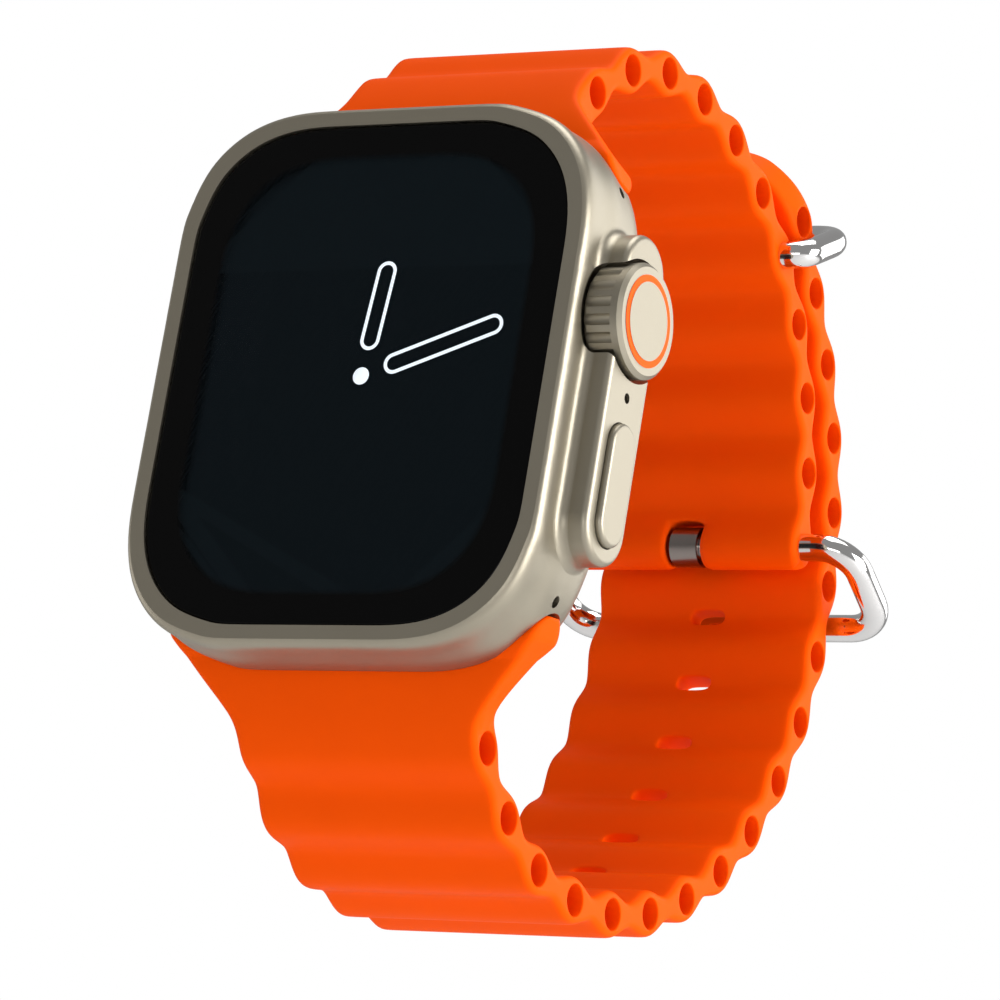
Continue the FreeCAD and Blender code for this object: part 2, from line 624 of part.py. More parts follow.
def make_side_buttons():
    export("side_button_cap", button_cap(SIDE_BUTTON_WIDTH, SIDE_BUTTON_LENGTH, SIDE_BUTTON_Z,
                                         SIDE_BUTTON_SEAT, SIDE_BUTTON_FACE))
    export("side_button_plunger", rod_x(PLUNGER_RADIUS, SWITCH_OUTER + 0.5, SIDE_BUTTON_SEAT,
                                        GUARD_Y, SIDE_BUTTON_Z))
    export("side_button_switch", switch(SIDE_BUTTON_Z, 1))
    export("action_button_cap", button_cap(ACTION_BUTTON_WIDTH, ACTION_BUTTON_LENGTH,
                                           ACTION_BUTTON_Z, ACTION_BUTTON_SEAT,
                                           ACTION_BUTTON_FACE))
    export("action_button_plunger", rod_x(PLUNGER_RADIUS, ACTION_BUTTON_SEAT,
                                          -SWITCH_OUTER - 0.5, GUARD_Y, ACTION_BUTTON_Z))
    export("action_button_switch", switch(ACTION_BUTTON_Z, -1))


def make_release_buttons():
    for name, z in (("lower", -RELEASE_Z), ("upper", RELEASE_Z)):
        button = stadium_y(RELEASE_HALF_WIDTH, RELEASE_HALF_LENGTH, RELEASE_INNER,
                           CASE_BACK, z)
        export("release_button_" + name, button)
        catch_z = -BAR_Z if name == "lower" else BAR_Z
        export("%s_lug_catch" % name, rod_y(CATCH_RADIUS, *CATCH_DEPTH, 0, catch_z))


# ---- display, back and inner parts ------------------------------------------------------
def make_display():
    glass = squircle_plate(GLASS_HALF_X, GLASS_HALF_Z, CORNER_SIZE - 1.25, GLASS_FRONT, GLASS_BACK)
    rim = [edge for edge in glass.Edges if edge.BoundBox.YMax < GLASS_FRONT + 0.01]
    export("display_glass", glass.makeFillet(0.25, rim))
    seal_outer = squircle_plate(GLASS_HALF_X - 0.1, GLASS_HALF_Z - 0.1, CORNER_SIZE - 1.3,
                                GLASS_BACK, GLASS_BACK + 0.2)
    seal_inner = squircle_plate(CAVITY_HALF_X + 0.1, FRONT_CAVITY_HALF_Z + 0.1,
                                CORNER_SIZE - 2.3, GLASS_BACK - 1, GLASS_BACK + 1)
    export("display_gasket", seal_outer.cut(seal_inner))
    export("oled_panel", squircle_plate(*PANEL, GLASS_BACK, PANEL_BACK))
    export("display_bracket", squircle_plate(*BRACKET, *BRACKET_DEPTH))
    export("display_flex", box((-FLEX_HALF_X, FLEX_HALF_X), FLEX_DEPTH, (-20.0, -12.0)))


def make_electronics():
    export("main_board", squircle_plate(*MAIN_BOARD, *MAIN_BOARD_DEPTH))
    export("processor_package", box(*PROCESSOR))
    export("radio_module", box(*RADIO))
    export("battery", box(*BATTERY))
    export("haptic_housing", box(*HAPTIC_HOUSING).cut(box(*HAPTIC_HOLLOW)))
    export("haptic_mass", box(*HAPTIC_MASS))
    export("speaker_module", box(*SPEAKER))
    mesh = stadium_x(1.5, -12.5, -2.4, -16.7, -16.4, GUARD_Y + 0.4)
    export("speaker_mesh", mesh)
    export("microphone", box((13.7, 16.9), (GUARD_Y - 1.3, GUARD_Y + 1.3),
                             (MICROPHONE_Z - 1.6, MICROPHONE_Z + 1.6)))
    export("microphone_mesh", rod_x(1.25, 18.2, 18.5, GUARD_Y, MICROPHONE_Z))
    export("gps_antenna", box(*ANTENNA))
    vents = [rod_x(VENT_RADIUS - 0.02, 17.4, 18.2, VENT_Y, z) for z in (-VENT_Z, VENT_Z)]
    export("vent_plugs", Part.makeCompound(vents))


def make_back():
    window = rod_y(WINDOW_RADIUS, -3, 0, 0, 0)
    cover = squircle_plate(*COVER_PLATE, COVER_INNER, CASE_BACK).cut(window)
    heads = []
    for x, z in screw_places():
        heads.append(rod_y(SCREW_HEAD_RADIUS + 0.1, SCREW_HEAD_FRONT, 0, x, z))
        heads.append(rod_y(SCREW_RADIUS + 0.05, -2.2, 0, x, z))
    export("back_cover", cover.cut(heads))
    gasket = squircle_plate(COVER_PLATE[0] - 0.05, COVER_PLATE[1] - 0.05, COVER_PLATE[2],
                            SEAT_FLOOR, COVER_INNER)
    gasket = gasket.cut(squircle_plate(BACK_OPENING[0] + 0.1, BACK_OPENING[1] + 0.1,
                                       BACK_OPENING[2], -3, 0))
    holes = [rod_y(SCREW_RADIUS + 0.1, -3, 0, x, z) for x, z in screw_places()]
    export("back_gasket", gasket.cut(holes))
    dome = Part.makeCone(CRYSTAL_RADIUS, CRYSTAL_FLAT_RADIUS, -CASE_BACK,
                         Vector(0, CASE_BACK, 0), Vector(0, 1, 0))
    plug = rod_y(WINDOW_RADIUS - 0.1, COVER_INNER + 0.1, CASE_BACK, 0, 0)
    export("back_crystal", dome.fuse(plug).removeSplitter())
    screws = []
    for x, z in screw_places():
        head = rod_y(SCREW_HEAD_RADIUS, SCREW_HEAD_FRONT, SCREW_HEAD_BACK, x, z)
        drive = rod_y(0.45, -1.3, 0, x, z)
        shank = rod_y(SCREW_RADIUS, -3.3, SCREW_HEAD_FRONT, x, z)
        screws.append(head.fuse(shank).cut(drive).removeSplitter())
    export("back_screws", Part.makeCompound(screws))
    export("sensor_board", rod_y(SENSOR_BOARD_RADIUS, *SENSOR_BOARD_DEPTH, 0, 0))
    depth = (SENSOR_BOARD_DEPTH[1], SENSOR_BOARD_DEPTH[1] + SENSOR_LIGHT_HEIGHT)
    lights = [box((-1.2, 1.2), depth, (-1.2, 1.2))]
    for index in range(4):
        angle = pi / 4 + index * pi / 2
        x, z = SENSOR_LIGHT_REACH * cos(angle), SENSOR_LIGHT_REACH * sin(angle)
        lights.append(box((x - 1, x + 1), depth, (z - 1, z + 1)))
    export("sensor_lights", Part.makeCompound(lights))
    export("charging_coil", ring_y(*COIL_RADII, SENSOR_BOARD_DEPTH[1], -2.05, 0, 0))
    export("alignment_magnet", rod_y(MAGNET_RADIUS, -4.2, SENSOR_BOARD_DEPTH[0], 0, 0))


make_display()
make_electronics()
make_back()
make_crown()
make_side_buttons()
make_release_buttons()
make_clasp()
export("lower_band", make_lower_band())
export("upper_band", make_upper_band())
export("case_frame", make_case())

for part_name, part_shape in sorted(PARTS.items()):
    print("%-24s solids %d volume %9.2f" % (part_name, len(part_shape.Solids), part_shape.Volume))
print(len(PARTS), "nodes")
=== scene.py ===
"""Looks of the GPS running watch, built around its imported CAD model.

Shapes are worked out in millimetres in the CAD frame (X to the crown side, Y into the wrist,
Z to 12 o'clock) and turned into metres where a mesh is made.
"""
import json
import math

import bmesh
import bpy
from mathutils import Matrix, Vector


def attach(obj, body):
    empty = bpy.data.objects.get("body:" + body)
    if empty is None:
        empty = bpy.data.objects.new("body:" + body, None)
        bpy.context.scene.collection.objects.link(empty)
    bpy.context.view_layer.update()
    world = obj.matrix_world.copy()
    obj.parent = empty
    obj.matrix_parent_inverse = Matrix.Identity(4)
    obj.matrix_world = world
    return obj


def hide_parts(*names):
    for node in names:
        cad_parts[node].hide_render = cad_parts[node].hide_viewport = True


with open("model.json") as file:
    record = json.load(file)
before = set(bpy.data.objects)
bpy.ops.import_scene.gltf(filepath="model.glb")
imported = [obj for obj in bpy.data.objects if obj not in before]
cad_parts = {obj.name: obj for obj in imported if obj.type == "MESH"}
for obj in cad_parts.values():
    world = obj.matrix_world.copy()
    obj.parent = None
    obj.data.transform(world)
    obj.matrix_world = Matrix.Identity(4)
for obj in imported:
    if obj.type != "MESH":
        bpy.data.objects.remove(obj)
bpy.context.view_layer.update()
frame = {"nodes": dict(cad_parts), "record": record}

MM = 0.001
NODES = frame["nodes"]

# ---- band, the same centreline and wave as the CAD ---------------------------------------
HALF_WIDTH = 11.8
PITCH = 7.06
CREST_HALF = 2.12
VALLEY_HALF = 1.08
CREST_SHAPE = 0.8
HOLE_RADIUS = 1.45
PINNED_HOLE_RADIUS = 1.12   # the two tubes with a wire in them; the wire is thicker than this
LIP_ROUND = 0.1             # soft lip round a tube's mouth
TUBE_MOUTH_DEPTH = 0.5      # where the mouth's rings end and the plain tube starts
EDGE_ROUND = 0.62
BAR = (-6.0, 21.4)
BAR_RADIUS = 2.4
NECK_HALF = 1.9
NECK_START = 1.47           # distance from the bar where its round gives way to the neck
NECK_BLEND = 4.0            # length over which the neck swells into the first crest
EAR_END = 6.5               # distance from the bar where an ear has run out
EAR_SLOPE = 0.93
EAR_SOFTNESS = 0.55
EAR_TIP = 17.9              # |X| of an ear's tip, where it meets the case
EAR_INSIDE = 0.4            # how fast the lug widens inside the channel
BANDS = {
    "lower": {"sign": -1, "heading": -80.0, "first": 9.1, "tubes": 18,
              "arcs": [(16.4, 8.1), (22.9, 18.7), (39.0, 91.8), (0, 60.0)]},
    "upper": {"sign": 1, "heading": 81.0, "first": 10.1, "tubes": 11,
              "arcs": [(-16.8, 8.3), (-22.3, 19.5), (-33.8, 80.0)]},
}
TIP_LENGTH = 5.4            # plain band past the long half's last tube
TIP_HALF = 1.87
TIP_CORNER = 8.0
END_CORNER = 0.9            # corner of the short half's end, seen from outside
SLOT_VALLEYS = range(7, 14)
SLOT_HALF_LENGTH = 1.8
SLOT_HALF_WIDTH = 0.8
SLOT_POWER = 2.8            # superellipse power of a slot's outline
SLOT_RINGS = ((0.45, 0.0), (0.12, 0.0), (0.02, 0.08), (0.0, 0.3))   # growth and depth of its lip
KEEPER_TUBE = 7
LUG_STATIONS = (-2.35, -2.1, -1.6, -0.9, -0.3, 0.0, 0.3, 0.9, 1.4, 1.5, 2.1, 2.9, 3.7, 4.5,
                5.3, 6.1)
LUG_GAP = 0.3               # least distance from the last lug station to the first tube cell
CELL_STEPS = 12             # stations along one tube pitch
TIP_STEPS = 8               # stations round the long half's tip
END_STEPS = 6               # stations round the short half's end
NEARLY = 1e-6
EDGE_ROWS = 4               # rows down the band's edge
ARC_STEPS = 3
COLUMNS = [-1.0, -0.9, -0.72, -0.5, -0.27, -0.148, 0.0, 0.148, 0.27, 0.5, 0.72, 0.9, 1.0]
SLOT_COLUMNS = (4, 8)
NOTCH_COLUMNS = (5, 7)
NOTCH_STATION = 4           # stations before the last tube where the notch starts
NOTCH_ROWS = 8


def band_point(side, distance):
    """Point (Y, Z) and heading on a band half's centreline, from its lug bar."""
    band = BANDS[side]
    y, z = BAR[0], BAR[1] * band["sign"]
    heading = math.radians(band["heading"])
    if distance < 0:
        return y + distance * math.cos(heading), z + distance * math.sin(heading), heading
    for radius, length in band["arcs"]:
        step = min(distance, length)
        if radius:
            turned = heading + step / radius
            y += radius * (math.sin(turned) - math.sin(heading))
            z -= radius * (math.cos(turned) - math.cos(heading))
            heading = turned
        else:
            y += step * math.cos(heading)
            z += step * math.sin(heading)
        distance -= step
        if distance <= 0:
            break
    return y, z, heading


def tube_at(side, number):
    return BANDS[side]["first"] + (number - 1) * PITCH


def band_end(side):
    last = tube_at(side, BANDS[side]["tubes"])
    return last + TIP_LENGTH + TIP_HALF if side == "lower" else last + CREST_HALF


def half_thickness(side, distance):
    """Half thickness of the band at a distance from its lug bar."""
    band = BANDS[side]
    past = distance - band["first"]
    last = tube_at(side, band["tubes"])
    if distance < NECK_START:
        return math.sqrt(max(0.0, BAR_RADIUS ** 2 - distance ** 2))
    if past <= 0:
        share = max(0.0, 1 + past / NECK_BLEND)
        return NECK_HALF + (CREST_HALF - NECK_HALF) * share
    if distance >= last:
        if side == "upper":
            return math.sqrt(max(0.0, CREST_HALF ** 2 - (distance - last) ** 2))
        if distance <= last + TIP_LENGTH:
            return CREST_HALF - (CREST_HALF - TIP_HALF) * (distance - last) / TIP_LENGTH
        return math.sqrt(max(0.0, TIP_HALF ** 2 - (distance - last - TIP_LENGTH) ** 2))
    wave = 0.5 + 0.5 * math.cos(2 * math.pi * past / PITCH)
    return VALLEY_HALF + (CREST_HALF - VALLEY_HALF) * wave ** CREST_SHAPE


def half_width(side, distance):
    """Half width: ears at the lug, straight along the band, round corners at the long tip."""
    ears = EAR_SLOPE * EAR_SOFTNESS * math.log1p(math.exp((EAR_END - distance) / EAR_SOFTNESS))
    width = min(HALF_WIDTH + ears, EAR_TIP + EAR_INSIDE * max(0.0, -distance))
    corner = TIP_CORNER if side == "lower" else END_CORNER
    into_corner = distance - (band_end(side) - corner)
    if into_corner > 0:
        width -= corner - math.sqrt(max(0.0, corner ** 2 - into_corner ** 2))
    return width


class Shell:
    """Collects grids of points in millimetres and welds them into one closed mesh."""

    def __init__(self):
        self.points = []
        self.faces = []

    def grid(self, rows, keep=None):
        base = len(self.points)
        width = len(rows[0])
        for row in rows:
            self.points.extend(row)
        for i in range(len(rows) - 1):
            for j in range(width - 1):
                if keep is None or keep(i, j):
                    corner = base + i * width + j
                    self.faces.append((corner, corner + 1, corner + width + 1, corner + width))

    def loops(self, rings):
        """Quads between closed rings with equal numbers of points."""
        self.grid([list(ring) + [ring[0]] for ring in rings])

    def polygon(self, ring):
        base = len(self.points)
        self.points.extend(ring)
        self.faces.append(tuple(range(base, base + len(ring))))

    def build(self, name, levels=0):
        mesh = bpy.data.meshes.new(name)
        mesh.from_pydata([Vector(p) * MM for p in self.points], [], self.faces)
        work = bmesh.new()
        work.from_mesh(mesh)
        bmesh.ops.remove_doubles(work, verts=work.verts, dist=2e-7)
        bmesh.ops.dissolve_degenerate(work, edges=work.edges, dist=1e-7)
        bmesh.ops.recalc_face_normals(work, faces=work.faces)
        for face in work.faces:
            face.smooth = True
        work.to_mesh(mesh)
        work.free()
        piece = bpy.data.objects.new(name, mesh)
        bpy.context.scene.collection.objects.link(piece)
        if levels:
            smooth = piece.modifiers.new("smooth", "SUBSURF")
            smooth.levels = levels
            smooth.render_levels = levels
        return piece


def band_place(side, distance, x, v):
    """Point at x across the band and v out of its middle surface."""
    y, z, heading = band_point(side, distance)
    return (x, y - v * math.sin(heading), z + v * math.cos(heading))


def edge_round(side, distance):
    return min(EDGE_ROUND, 0.6 * half_thickness(side, distance))


def face_row(side, distance, v_sign):
    """Points across one broad face at one station."""
    reach = half_width(side, distance) - edge_round(side, distance)
    v = v_sign * half_thickness(side, distance)
    return [band_place(side, distance, share * reach, v) for share in COLUMNS]


def corner_row(side, distance, x_sign, v_sign):
    """Points round one of the band's four long edges at one station."""
    soft = edge_round(side, distance)
    width = half_width(side, distance) - soft
    v = half_thickness(side, distance) - soft
    row = []
    for step in range(ARC_STEPS + 1):
        angle = step / ARC_STEPS * math.pi / 2
        row.append(band_place(side, distance, x_sign * (width + soft * math.sin(angle)),
                              v_sign * (v + soft * math.cos(angle))))
    return row


def edge_points(side, distance, rows):
    """(distance, v) pairs down the flat of the band's edge at one station."""
    v = half_thickness(side, distance) - edge_round(side, distance)
    return [(distance, v * (1 - 2 * row / rows)) for row in range(rows + 1)]


def ring_of_cell(side, stations, rows_left, closed_tip, flush):
    """Outline of an edge patch as (distance, v), from the middle of its first station."""
    def height(distance):
        return half_thickness(side, distance) - (0 if flush else edge_round(side, distance))

    first, last = stations[0], stations[-1]
    up = [(first, height(first) * 2 * k / rows_left) for k in range(rows_left // 2)]
    top = [(s, height(s)) for s in stations]
    bottom = [(s, -height(s)) for s in reversed(stations)]
    down = [(first, -height(first) * 2 * k / rows_left) for k in range(rows_left // 2 - 1, 0, -1)]
    if closed_tip:
        right = []
        bottom = bottom[1:]
    else:
        right = [(last, height(last) * (1 - 2 * k / EDGE_ROWS)) for k in range(1, EDGE_ROWS)]
    return up + top + right + bottom + down


def mouth_rings(side, x_sign, outline, centre, radius):
    """Rings from an edge patch's outline in to a round mouth, and a little way down its tube."""
    angles = [math.atan2(v, s - centre) for s, v in outline]

    def circle(r, x):
        return [ring_point(side, centre, r, angle, x_sign * x) for angle in angles]

    outer = [band_place(side, s, x_sign * half_width(side, s), v) for s, v in outline]
    face = half_width(side, centre)
    lip = circle(radius + LIP_ROUND, face)
    middle = [tuple(0.45 * a + 0.55 * b for a, b in zip(p, q)) for p, q in zip(outer, lip)]
    return [outer, middle, lip, circle(radius + 0.3 * LIP_ROUND, face - 0.3 * LIP_ROUND),
            circle(radius, face - LIP_ROUND),
            circle(radius, face - LIP_ROUND - TUBE_MOUTH_DEPTH)]


def ring_point(side, centre, radius, angle, x):
    """Point on a circle round a tube's axis, measured from the band's heading there."""
    y, z, heading = band_point(side, centre)
    turned = heading + angle
    return (x, y + radius * math.cos(turned), z + radius * math.sin(turned))


def slot_point(side, valley, angle, grow):
    """(distance, x) on a slot's rounded outline."""
    power = 2 / SLOT_POWER
    across = math.copysign(abs(math.cos(angle)) ** power, math.cos(angle))
    along = math.copysign(abs(math.sin(angle)) ** power, math.sin(angle))
    middle = tube_at(side, valley) + PITCH / 2
    return middle + along * (SLOT_HALF_WIDTH + grow), across * (SLOT_HALF_LENGTH + grow)


def slot_span(side, stations, valley):
    """First and last station of the patch round one slot, a quarter pitch to each side."""
    middle = tube_at(side, valley) + PITCH / 2
    at = [i for i, s in enumerate(stations) if abs(s - middle) < 1.01 * PITCH / 4]
    return at[0], at[-1]


def add_slot(shell, side, stations, valley):
    """Patch both broad faces round one slot and join them through the band."""
    middle = tube_at(side, valley) + PITCH / 2
    first, last = slot_span(side, stations, valley)
    low, high = SLOT_COLUMNS
    walk = [(i, high) for i in range(first, last)]
    walk += [(last, j) for j in range(high, low, -1)]
    walk += [(i, low) for i in range(last, first, -1)]
    walk += [(first, j) for j in range(low, high)]
    tunnels = []
    for v_sign in (1, -1):
        outer = [face_row(side, stations[i], v_sign)[j] for i, j in walk]
        angles = []
        for i, j in walk:
            across = COLUMNS[j] * (HALF_WIDTH - EDGE_ROUND) / SLOT_HALF_LENGTH
            along = (stations[i] - middle) / SLOT_HALF_WIDTH
            angles.append(math.atan2(along, across))
        rings = [outer]
        for grow, sink in SLOT_RINGS:
            ring = []
            for angle in angles:
                s, x = slot_point(side, valley, angle, grow)
                ring.append(band_place(side, s, x, v_sign * (half_thickness(side, s) - sink)))
            rings.append(ring)
        shell.loops(rings)
        tunnels.append(rings[-1])
    shell.loops(tunnels)


def band_stations(side):
    """Distances of the mesh's stations: lug, tube cells, then the end."""
    band = BANDS[side]
    start = tube_at(side, 1) - PITCH / 2
    stations = [s for s in LUG_STATIONS if s < start - LUG_GAP]
    for number in range(1, band["tubes"] + 1):
        steps = CELL_STEPS if number < band["tubes"] or side == "lower" else CELL_STEPS // 2
        stations += [tube_at(side, number) - PITCH / 2 + k * PITCH / CELL_STEPS
                     for k in range(steps)]
    last = tube_at(side, band["tubes"])
    if side == "upper":
        quarter = math.pi / 2 / END_STEPS
        return stations + [last + CREST_HALF * math.sin(k * quarter)
                           for k in range(END_STEPS + 1)]
    tip_start = last + PITCH / 2
    plain = last + TIP_LENGTH
    quarter = math.pi / 2 / TIP_STEPS
    stations += [tip_start + (plain - tip_start) * k / 2 for k in range(3)]
    return stations + [plain + TIP_HALF * math.sin(k * quarter) for k in range(1, TIP_STEPS + 1)]


def face_holes(side, stations, notch_from):
    """Gaps left in the broad faces: (first station, last station, first column, last column)."""
    if side == "lower":
        return [(*slot_span(side, stations, valley), *SLOT_COLUMNS) for valley in SLOT_VALLEYS]
    at = [i for i, s in enumerate(stations) if s > notch_from - NEARLY]
    return [(at[0], at[-1], *NOTCH_COLUMNS)]


def add_faces(shell, side, stations, holes):
    """Both broad faces and the four rounded edges beside them."""
    def keep(i, j):
        return not any(a <= i < b and c <= j < d for a, b, c, d in holes)

    for v_sign in (1, -1):
        shell.grid([face_row(side, s, v_sign) for s in stations], keep)
        for x_sign in (1, -1):
            shell.grid([corner_row(side, s, x_sign, v_sign) for s in stations])


def plain_edge(shell, side, stations):
    """Both edges of the band along a stretch with no tube in it."""
    for x_sign in (1, -1):
        shell.grid([[band_place(side, s, x_sign * half_width(side, s), v)
                     for s, v in edge_points(side, station, EDGE_ROWS)] for station in stations])


def tube_radius(side, number):
    """Radius of a drawn tube: narrower where the keeper's or the buckle's wire is pinned."""
    pinned = side == "upper" and number in (KEEPER_TUBE, BANDS[side]["tubes"])
    return PINNED_HOLE_RADIUS if pinned else HOLE_RADIUS


def add_tubes(shell, side, stations, lug_count, notch_from):
    """Edge patches with a round mouth each, joined through the band by their tubes."""
    tubes = BANDS[side]["tubes"]
    for number in range(1, tubes + 1):
        centre = tube_at(side, number)
        first = lug_count + (number - 1) * CELL_STEPS
        final = side == "upper" and number == tubes
        radius = tube_radius(side, number)
        cell = stations[first:] if final else stations[first:first + CELL_STEPS + 1]
        outline = ring_of_cell(side, cell, EDGE_ROWS, final, False)
        inner = []
        for x_sign in (1, -1):
            rings = mouth_rings(side, x_sign, outline, centre, radius)
            shell.loops(rings)
            inner.append(rings[-1])
        if final:
            notch = [s for s in cell if s > notch_from - NEARLY]
            add_notch(shell, side, notch, outline, centre, radius, inner)
        else:
            shell.loops(inner)


def close_lug(shell, side, start):
    """Flat face that closes the lug at the band's first station."""
    edge = edge_points(side, start, EDGE_ROWS)
    cap = face_row(side, start, 1)
    cap += corner_row(side, start, 1, 1)[1:]
    cap += [band_place(side, start, half_width(side, start), v) for _, v in edge][1:]
    cap += corner_row(side, start, 1, -1)[::-1][1:]
    cap += face_row(side, start, -1)[::-1][1:]
    cap += corner_row(side, start, -1, -1)[1:]
    cap += [band_place(side, start, -half_width(side, start), v) for _, v in edge][::-1][1:]
    cap += corner_row(side, start, -1, 1)[::-1][1:-1]
    shell.polygon(cap)


def make_band(side):
    """One band half: wavy faces, rounded edges, round tube mouths, slots or a notch."""
    shell = Shell()
    stations = band_stations(side)
    lug_count = sum(s < tube_at(side, 1) - PITCH / 2 - NEARLY for s in stations)
    last_tube = tube_at(side, BANDS[side]["tubes"])
    notch_from = last_tube - NOTCH_STATION * PITCH / CELL_STEPS
    add_faces(shell, side, stations, face_holes(side, stations, notch_from))
    if side == "lower":
        for valley in SLOT_VALLEYS:
            add_slot(shell, side, stations, valley)
    plain_edge(shell, side, stations[:lug_count + 1])
    add_tubes(shell, side, stations, lug_count, notch_from)
    if side == "lower":
        plain_edge(shell, side, [s for s in stations if s > last_tube + PITCH / 2 - NEARLY])
    close_lug(shell, side, stations[0])
    return shell.build(side + "_band_skin", levels=1)


def add_notch(shell, side, stations, outline, centre, radius, inner):
    """Walls of the notch where the tongue's barrel sits at the short half's end."""
    reach = half_width(side, stations[0]) - edge_round(side, stations[0])
    outline_wall = ring_of_cell(side, stations, NOTCH_ROWS, True, True)
    angles = [math.atan2(v, s - centre) for s, v in outline]
    for index, x_sign in enumerate((1, -1)):
        def wall_x(distance):
            span = half_width(side, distance) - edge_round(side, distance)
            return COLUMNS[NOTCH_COLUMNS[1]] * span

        outer = [band_place(side, s, x_sign * wall_x(s), v) for s, v in outline_wall]
        mouth = [ring_point(side, centre, radius, angle, x_sign * wall_x(centre))
                 for angle in angles]
        shell.loops([outer, mouth, inner[index]])
    rows = []
    start = stations[0]
    half = half_thickness(side, start)
    for row in range(NOTCH_ROWS + 1):
        v = half * (1 - 2 * row / NOTCH_ROWS)
        rows.append([band_place(side, start, COLUMNS[j] * reach, v)
                     for j in range(NOTCH_COLUMNS[0], NOTCH_COLUMNS[1] + 1)])
    shell.grid(rows)


# ---- lit area of the display, behind a printed black border ----------------------------
LIT_HALF_X = 15.4
LIT_HALF_Z = 19.7
LIT_CORNER = 11.4
LIT_POWER = 2.6
LIT_FADE = 0.06             # softness of the border's inner edge, as a share of its outline
LIT_TINT = 0.3              # how opaque the glass is over the lit area


# ---- materials -------------------------------------------------------------------------------
def paint(name, colour, roughness, metallic=0.0, grain=0.3, bump=0.02, mottle=0.05,
          rough_spread=0.05, stretch=(1, 1, 1), **sockets):
    """Principled material with a fine grain in its height and a slow mottle in its colour.

    grain is the size of the grain and bump its depth, both in millimetres."""
    material = bpy.data.materials.new(name)
    material.use_nodes = True
    nodes = material.node_tree.nodes
    links = material.node_tree.links
    shader = nodes["Principled BSDF"]
    shader.inputs["Metallic"].default_value = metallic
    for socket, value in sockets.items():
        shader.inputs[socket.replace("_", " ")].default_value = value
    place = nodes.new("ShaderNodeTexCoord")
    scale = nodes.new("ShaderNodeMapping")
    scale.inputs["Scale"].default_value = stretch
    links.new(place.outputs["Object"], scale.inputs["Vector"])

    slow = nodes.new("ShaderNodeTexNoise")
    slow.inputs["Scale"].default_value = 1 / (6 * MM)
    slow.inputs["Detail"].default_value = 3
    links.new(scale.outputs["Vector"], slow.inputs["Vector"])
    fine = nodes.new("ShaderNodeTexNoise")
    fine.inputs["Scale"].default_value = 1 / (grain * MM)
    fine.inputs["Detail"].default_value = 2
    links.new(scale.outputs["Vector"], fine.inputs["Vector"])

    tint = nodes.new("ShaderNodeMixRGB")
    dark = [max(0.0, c * (1 - mottle)) for c in colour]
    light = [min(1.0, c * (1 + mottle)) for c in colour]
    tint.inputs["Color1"].default_value = (*dark, 1)
    tint.inputs["Color2"].default_value = (*light, 1)
    links.new(slow.outputs["Fac"], tint.inputs["Fac"])
    links.new(tint.outputs["Color"], shader.inputs["Base Color"])

    spread = nodes.new("ShaderNodeMapRange")
    spread.inputs["To Min"].default_value = max(0.0, roughness - rough_spread)
    spread.inputs["To Max"].default_value = min(1.0, roughness + rough_spread)
    links.new(fine.outputs["Fac"], spread.inputs["Value"])
    links.new(spread.outputs["Result"], shader.inputs["Roughness"])

    height = nodes.new("ShaderNodeBump")
    height.inputs["Strength"].default_value = 1.0
    height.inputs["Distance"].default_value = bump * MM
    links.new(fine.outputs["Fac"], height.inputs["Height"])
    links.new(height.outputs["Normal"], shader.inputs["Normal"])
    return material


def cover_glass():
    """Glass over the display: clear over the lit area, printed black round its border."""
    material = paint("cover_glass", (0.001, 0.001, 0.001), 0.06, grain=2.0, bump=0.0,
                     mottle=0.0, rough_spread=0.01, Specular_IOR_Level=0.1)
    nodes = material.node_tree.nodes
    links = material.node_tree.links
    place = nodes.new("ShaderNodeTexCoord")
    parts = nodes.new("ShaderNodeSeparateXYZ")
    links.new(place.outputs["Object"], parts.inputs["Vector"])

    def maths(operation, first, second):
        node = nodes.new("ShaderNodeMath")
        node.operation = operation
        for socket, value in zip(node.inputs, (first, second)):
            if isinstance(value, (int, float)):
                socket.default_value = value
            else:
                links.new(value, socket)
        return node.outputs["Value"]

    squares = []
    for axis, half in (("X", LIT_HALF_X), ("Z", LIT_HALF_Z)):
        reach = maths("ABSOLUTE", parts.outputs[axis], 0.0)
        past = maths("MAXIMUM", maths("SUBTRACT", reach, (half - LIT_CORNER) * MM), 0.0)
        squares.append(maths("POWER", maths("DIVIDE", past, LIT_CORNER * MM), LIT_POWER))
    outside = nodes.new("ShaderNodeMapRange")
    outside.inputs["From Min"].default_value = 1 - LIT_FADE
    outside.inputs["From Max"].default_value = 1 + LIT_FADE
    outside.inputs["To Min"].default_value = LIT_TINT
    outside.inputs["To Max"].default_value = 1.0
    links.new(maths("ADD", squares[0], squares[1]), outside.inputs["Value"])
    links.new(outside.outputs["Result"], nodes["Principled BSDF"].inputs["Alpha"])
    return material


def glowing(name, colour, strength, **sockets):
    material = paint(name, colour, 0.4, mottle=0.02, bump=0.0, **sockets)
    shader = material.node_tree.nodes["Principled BSDF"]
    shader.inputs["Emission Color"].default_value = (*colour, 1)
    shader.inputs["Emission Strength"].default_value = strength
    return material


